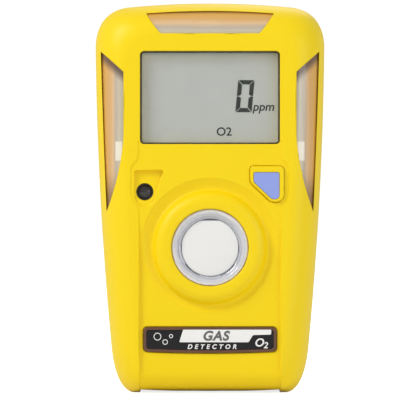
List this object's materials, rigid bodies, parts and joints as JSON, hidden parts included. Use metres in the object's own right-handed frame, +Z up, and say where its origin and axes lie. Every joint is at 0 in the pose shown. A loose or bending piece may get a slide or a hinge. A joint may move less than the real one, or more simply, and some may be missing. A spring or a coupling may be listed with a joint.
{
  "type": "portable gas detector",
  "caption": "Clip-on personal gas monitor with a display, ringed diffusion sensor inlet, push button, sounder port, alarm lights, and a sprung clip on its back.",
  "frame": {"origin": "centre of the bounding box's underside, level with the two foot rails", "axes": "+Z up along the body from the feet to the top alarm light, +X to the right of someone facing the display, -Y out of the display, +Y out of the clip"},
  "size_m": [0.051, 0.041, 0.0866],
  "materials": {
    "yellow_plastic": "satin yellow moulding",
    "black_seal": "matte",
    "clear_window": "clear",
    "display_glass": "grey-green crystal",
    "black_plastic": "satin",
    "amber_lens": "translucent amber",
    "white_led": "satin",
    "blue_plastic": "satin",
    "clear_plastic": "clear",
    "white_membrane": "porous",
    "sensor_case": "satin",
    "circuit_board": "solder mask",
    "gold_contact": "plated",
    "battery_wrap": "shrink sleeve",
    "steel": "nickel plated",
    "black_label": "domed",
    "paper_label": "matte"
  },
  "bodies": {
    "housing": {"front_shell": "yellow_plastic", "rear_shell": "yellow_plastic", "shell_gasket": "black_seal", "display_adhesive": "black_seal", "contact_strip_upper": "black_seal", "contact_strip_lower": "black_seal", "sounder_gasket": "black_seal", "sensor_o_ring": "black_seal", "motor_cradle": "black_seal", "display_lens": "clear_window", "display_glass": "display_glass", "display_frame": "black_plastic", "switch_body": "black_plastic", "sounder_port": "black_plastic", "sounder_body": "black_plastic", "processor": "black_plastic", "board_header": "black_plastic", "alarm_lens_top": "amber_lens", "alarm_lens_left": "amber_lens", "alarm_lens_right": "amber_lens", "alarm_led_top": "white_led", "alarm_led_left": "white_led", "alarm_led_right": "white_led", "sensor_retainer": "clear_plastic", "sensor_filter": "white_membrane", "sensor_cell": "sensor_case", "sensor_board": "circuit_board", "main_board": "circuit_board", "sensor_pin_1": "gold_contact", "sensor_pin_2": "gold_contact", "sensor_pin_3": "gold_contact", "battery_tab_positive": "gold_contact", "battery_tab_negative": "gold_contact", "battery_cell": "battery_wrap", "shell_screw_1": "steel", "shell_screw_2": "steel", "shell_screw_3": "steel", "shell_screw_4": "steel", "board_screw_1": "steel", "board_screw_2": "steel", "motor_can": "steel", "clip_base": "steel", "clip_pin": "steel", "clip_spring": "steel", "clip_screw": "steel", "nameplate": "black_label", "rear_label": "paper_label"},
    "button": {"button_cap": "yellow_plastic", "button_inlay": "blue_plastic"},
    "switch": {"switch_plunger": "black_plastic"},
    "clip_lever": {"clip_jaw": "steel"},
    "vibration_rotor": {"motor_shaft": "steel", "vibration_weight": "steel"}
  },
  "joints": [
    {"name": "button_press", "type": "slide", "parent": "housing", "child": "button", "axis": [0, 1, 0], "range_m": [0, 0.0005], "stiffness_N_per_m": 300},
    {"name": "switch_travel", "type": "slide", "parent": "housing", "child": "switch", "axis": [0, 1, 0], "range_m": [0, 0.0005], "stiffness_N_per_m": 300},
    {"name": "clip_open", "type": "hinge", "parent": "housing", "child": "clip_lever", "pos_m": [0, 0.0122, 0.058], "axis": [1, 0, 0], "range_deg": [0, 24], "stiffness_Nm_per_rad": 0.3, "springref_deg": -20.05, "deforming": ["clip_spring"]},
    {"name": "vibration_spin", "type": "hinge", "parent": "housing", "child": "vibration_rotor", "pos_m": [0.0057, 0.0012, 0.014], "axis": [1, 0, 0], "continuous": true}
  ],
  "couplings": [
    {"joint": "switch_travel", "follows": "button_press", "ratio": 1}
  ]
}
